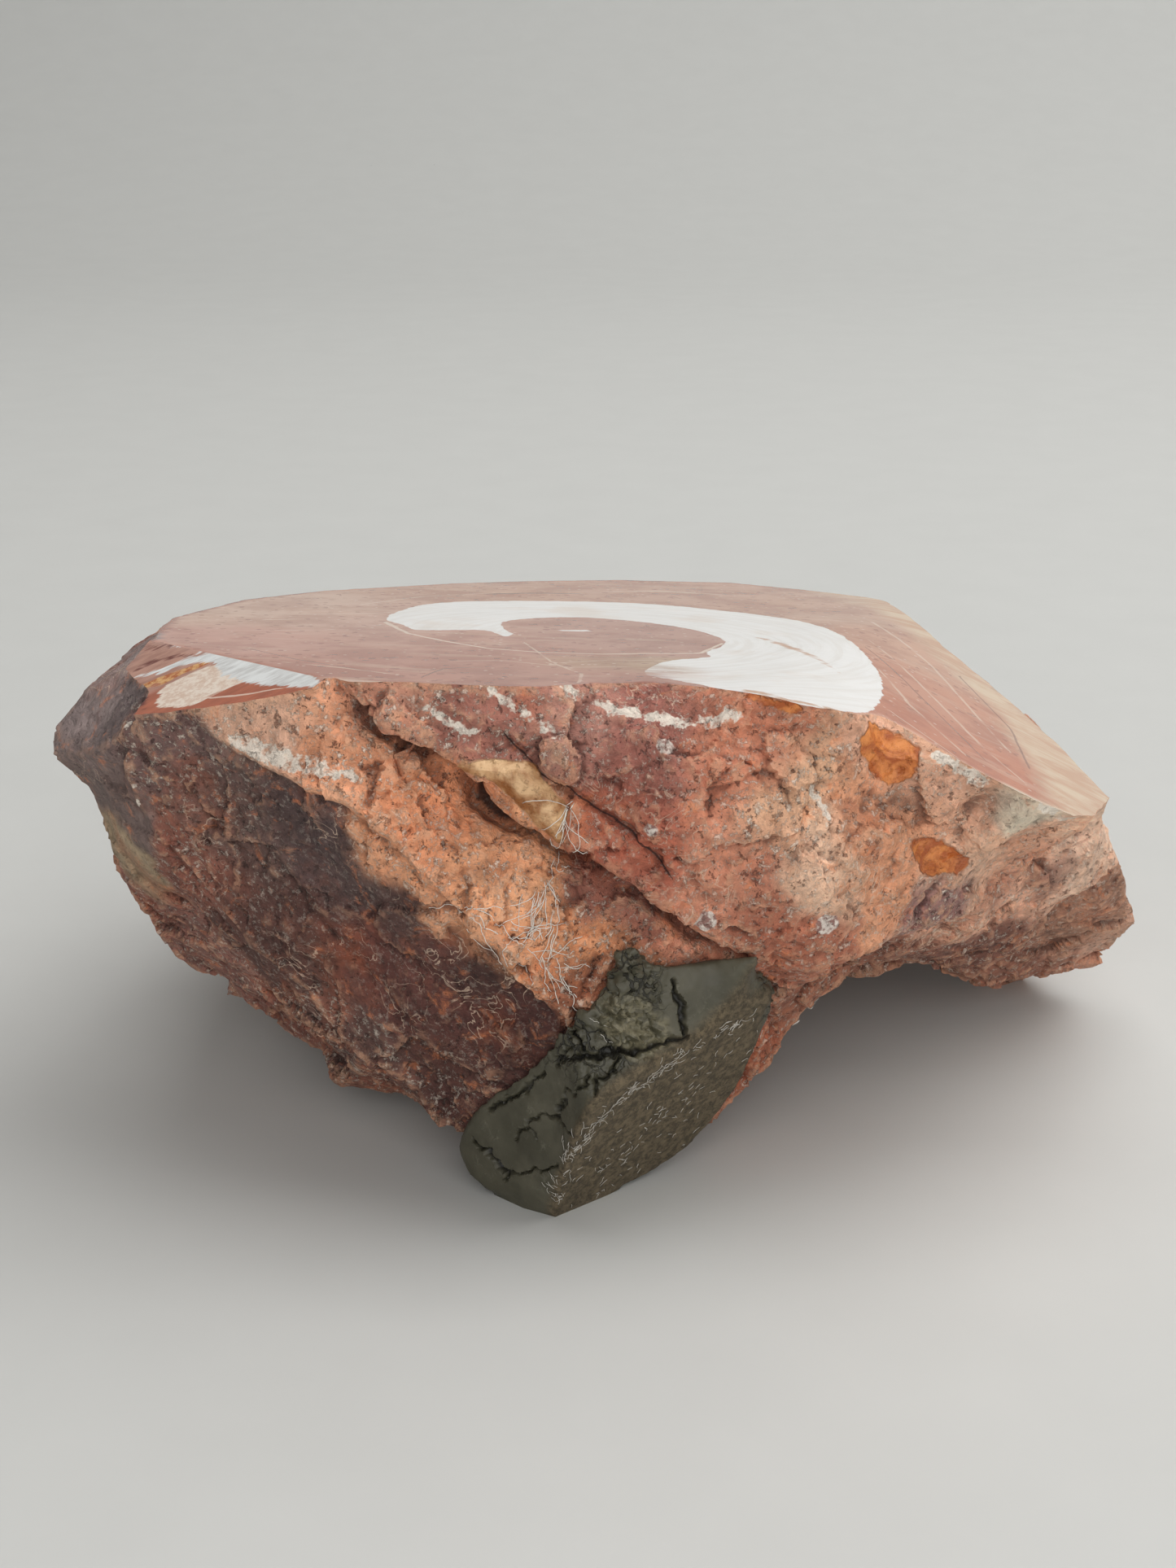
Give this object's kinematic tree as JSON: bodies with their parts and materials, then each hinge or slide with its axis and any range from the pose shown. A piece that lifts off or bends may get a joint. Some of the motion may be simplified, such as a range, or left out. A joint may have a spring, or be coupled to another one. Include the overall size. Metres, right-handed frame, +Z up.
{
  "type": "ammonite fossil on a clay foot",
  "caption": "Broken block of red limestone with one polished face that cuts through an ammonite, propped level on a pressed lump of modelling clay.",
  "frame": {"origin": "middle of the footprint, on the surface that the part stands on", "axes": "+Z up, +X along the longest side, -Y towards the front, where the clay foot is"},
  "size_m": [0.1442, 0.1316, 0.0673],
  "materials": {
    "red_limestone": "polished on top, rough broken stone elsewhere",
    "grey_clay": "matt, cracked and dusty"
  },
  "bodies": {
    "root": {"fossil_stone": "red_limestone", "clay_foot": "grey_clay"}
  },
  "joints": []
}
